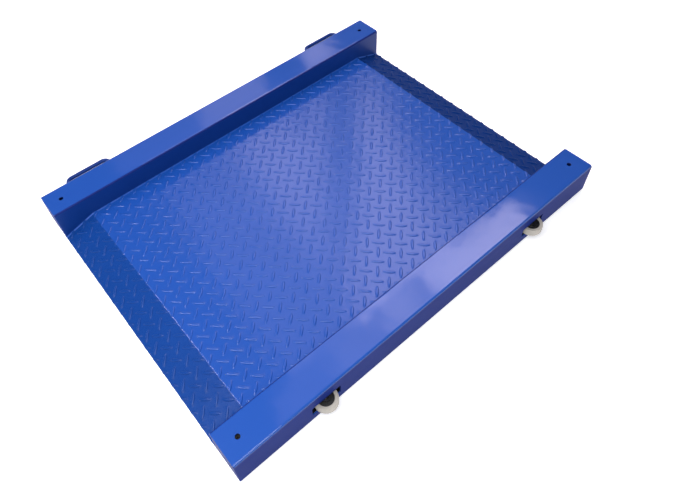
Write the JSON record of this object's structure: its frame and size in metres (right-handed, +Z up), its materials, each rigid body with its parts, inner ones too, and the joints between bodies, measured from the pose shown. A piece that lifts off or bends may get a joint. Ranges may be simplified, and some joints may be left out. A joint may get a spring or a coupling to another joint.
{
  "type": "pallet scale",
  "caption": "Low-profile drive-through platform scale: checkered deck with end ramps between two box rails, with levelling feet, transport wheels and carrying handles.",
  "frame": {"origin": "centre of the whole scale's footprint, on the floor under its levelling feet", "axes": "+X along the rails, from one ramp to the other; -Y is the side with the wheels and +Y the side with the handles; +Z up"},
  "size_m": [1.2, 1.018, 0.102],
  "materials": {
    "blue_enamel": "glossy stoved enamel over folded steel sheet",
    "nickel_plate": "nickel-plated alloy steel, satin",
    "zinc_plate": "bright zinc plating",
    "dark_steel": "dark primer, satin",
    "grey_tyre": "light grey non-marking rubber, matt",
    "black_nylon": "moulded black nylon",
    "black_rubber": "moulded black rubber",
    "cast_aluminium": "die-cast, matt",
    "grey_sheath": "extruded cable sheath"
  },
  "bodies": {
    "root": {"deck_plate": "blue_enamel", "deck_rib_1": "blue_enamel", "deck_rib_2": "blue_enamel", "deck_rib_3": "blue_enamel", "front_rail": "blue_enamel", "back_rail": "blue_enamel", "front_left_end_plate": "blue_enamel", "front_right_end_plate": "blue_enamel", "back_left_end_plate": "blue_enamel", "back_right_end_plate": "blue_enamel", "front_left_load_cell": "nickel_plate", "front_left_cell_block": "blue_enamel", "front_left_cell_bolt_1": "zinc_plate", "front_left_cell_bolt_2": "zinc_plate", "front_left_lock_nut": "zinc_plate", "front_left_cell_cable": "grey_sheath", "front_right_load_cell": "nickel_plate", "front_right_cell_block": "blue_enamel", "front_right_cell_bolt_1": "zinc_plate", "front_right_cell_bolt_2": "zinc_plate", "front_right_lock_nut": "zinc_plate", "front_right_cell_cable": "grey_sheath", "back_left_load_cell": "nickel_plate", "back_left_cell_block": "blue_enamel", "back_left_cell_bolt_1": "zinc_plate", "back_left_cell_bolt_2": "zinc_plate", "back_left_lock_nut": "zinc_plate", "back_left_cell_cable": "grey_sheath", "back_right_load_cell": "nickel_plate", "back_right_cell_block": "blue_enamel", "back_right_cell_bolt_1": "zinc_plate", "back_right_cell_bolt_2": "zinc_plate", "back_right_lock_nut": "zinc_plate", "back_right_cell_cable": "grey_sheath", "left_wheel_fork": "dark_steel", "left_wheel_axle": "zinc_plate", "left_handle": "blue_enamel", "right_wheel_fork": "dark_steel", "right_wheel_axle": "zinc_plate", "right_handle": "blue_enamel", "junction_box": "cast_aluminium", "junction_box_lid": "cast_aluminium", "cable_gland": "black_nylon", "cable_conduit": "blue_enamel"},
    "left_wheel": {"left_wheel_tyre": "grey_tyre", "left_wheel_hub": "black_nylon"},
    "right_wheel": {"right_wheel_tyre": "grey_tyre", "right_wheel_hub": "black_nylon"},
    "front_left_foot": {"front_left_foot_pad": "zinc_plate", "front_left_foot_sole": "black_rubber"},
    "front_left_stem": {"front_left_foot_stem": "zinc_plate"},
    "front_right_foot": {"front_right_foot_pad": "zinc_plate", "front_right_foot_sole": "black_rubber"},
    "front_right_stem": {"front_right_foot_stem": "zinc_plate"},
    "back_left_foot": {"back_left_foot_pad": "zinc_plate", "back_left_foot_sole": "black_rubber"},
    "back_left_stem": {"back_left_foot_stem": "zinc_plate"},
    "back_right_foot": {"back_right_foot_pad": "zinc_plate", "back_right_foot_sole": "black_rubber"},
    "back_right_stem": {"back_right_foot_stem": "zinc_plate"}
  },
  "joints": [
    {"name": "left_wheel_spin", "type": "hinge", "parent": "root", "child": "left_wheel", "pos_m": [-0.358, -0.48, 0.0455], "axis": [0, 0, 1], "continuous": true},
    {"name": "right_wheel_spin", "type": "hinge", "parent": "root", "child": "right_wheel", "pos_m": [0.358, -0.48, 0.0455], "axis": [0, 0, 1], "continuous": true},
    {"name": "front_left_foot_height", "type": "slide", "parent": "root", "child": "front_left_foot", "axis": [0, 0, -1], "range_m": [-0.00525, 0.00875]},
    {"name": "front_left_stem_turn", "type": "hinge", "parent": "front_left_foot", "child": "front_left_stem", "pos_m": [-0.558, -0.438, 0.05], "axis": [0, 0, -1], "range_deg": [-1080, 1800]},
    {"name": "front_right_foot_height", "type": "slide", "parent": "root", "child": "front_right_foot", "axis": [0, 0, -1], "range_m": [-0.00525, 0.00875]},
    {"name": "front_right_stem_turn", "type": "hinge", "parent": "front_right_foot", "child": "front_right_stem", "pos_m": [0.558, -0.438, 0.05], "axis": [0, 0, -1], "range_deg": [-1080, 1800]},
    {"name": "back_left_foot_height", "type": "slide", "parent": "root", "child": "back_left_foot", "axis": [0, 0, -1], "range_m": [-0.00525, 0.00875]},
    {"name": "back_left_stem_turn", "type": "hinge", "parent": "back_left_foot", "child": "back_left_stem", "pos_m": [-0.558, 0.412, 0.05], "axis": [0, 0, -1], "range_deg": [-1080, 1800]},
    {"name": "back_right_foot_height", "type": "slide", "parent": "root", "child": "back_right_foot", "axis": [0, 0, -1], "range_m": [-0.00525, 0.00875]},
    {"name": "back_right_stem_turn", "type": "hinge", "parent": "back_right_foot", "child": "back_right_stem", "pos_m": [0.558, 0.412, 0.05], "axis": [0, 0, -1], "range_deg": [-1080, 1800]}
  ],
  "couplings": [
    {"joint": "front_left_stem_turn", "follows": "front_left_foot_height", "rad_per_m": 3590.4},
    {"joint": "front_right_stem_turn", "follows": "front_right_foot_height", "rad_per_m": 3590.4},
    {"joint": "back_left_stem_turn", "follows": "back_left_foot_height", "rad_per_m": 3590.4},
    {"joint": "back_right_stem_turn", "follows": "back_right_foot_height", "rad_per_m": 3590.4}
  ]
}
